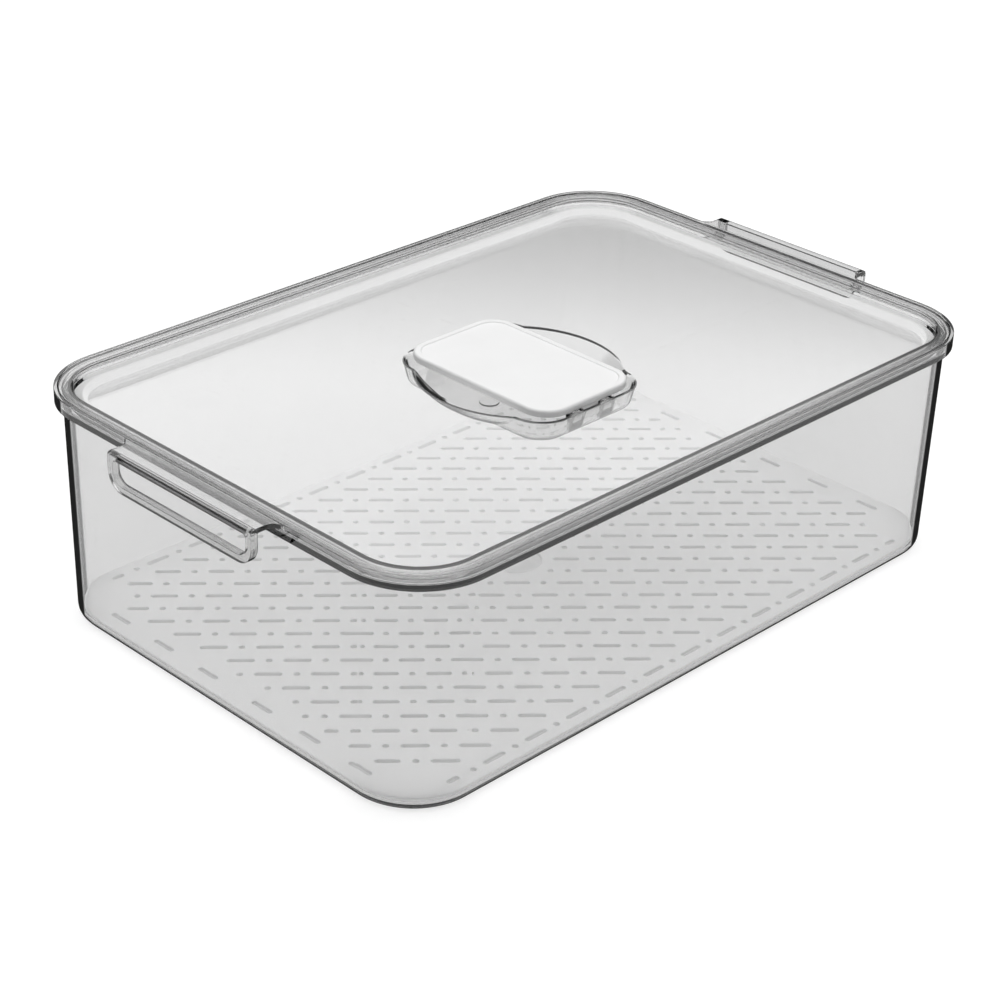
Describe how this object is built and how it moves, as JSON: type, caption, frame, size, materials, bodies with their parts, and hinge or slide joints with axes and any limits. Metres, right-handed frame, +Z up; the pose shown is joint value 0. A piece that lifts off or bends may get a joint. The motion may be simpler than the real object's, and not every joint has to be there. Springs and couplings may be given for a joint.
{
  "type": "fridge storage bin",
  "caption": "Clear lidded storage bin with moulded end handles, a nesting lid with a grip plate over a finger well, and a lift-out perforated drain tray.",
  "frame": {"origin": "centre of the bin's flat base, on the surface it stands on", "axes": "+X along the long side from one end handle to the other, +Y across the width, +Z up out of the bin's mouth"},
  "size_m": [0.401, 0.257, 0.1157],
  "materials": {
    "bin_clear": "clear polished plastic",
    "lid_clear": "clear polished plastic",
    "grip_white": "white satin plastic",
    "tray_white": "white fine matt plastic"
  },
  "bodies": {
    "bin": {"bin_body": "bin_clear"},
    "lid": {"lid": "lid_clear", "grip_plate": "grip_white"},
    "tray": {"drain_tray": "tray_white"}
  },
  "joints": [
    {"name": "lid_lift", "type": "slide", "parent": "bin", "child": "lid", "axis": [0, 0, 1], "range_m": [0, 0.12]},
    {"name": "tray_lift", "type": "slide", "parent": "bin", "child": "tray", "axis": [0, 0, 1], "range_m": [0, 0.07]}
  ]
}
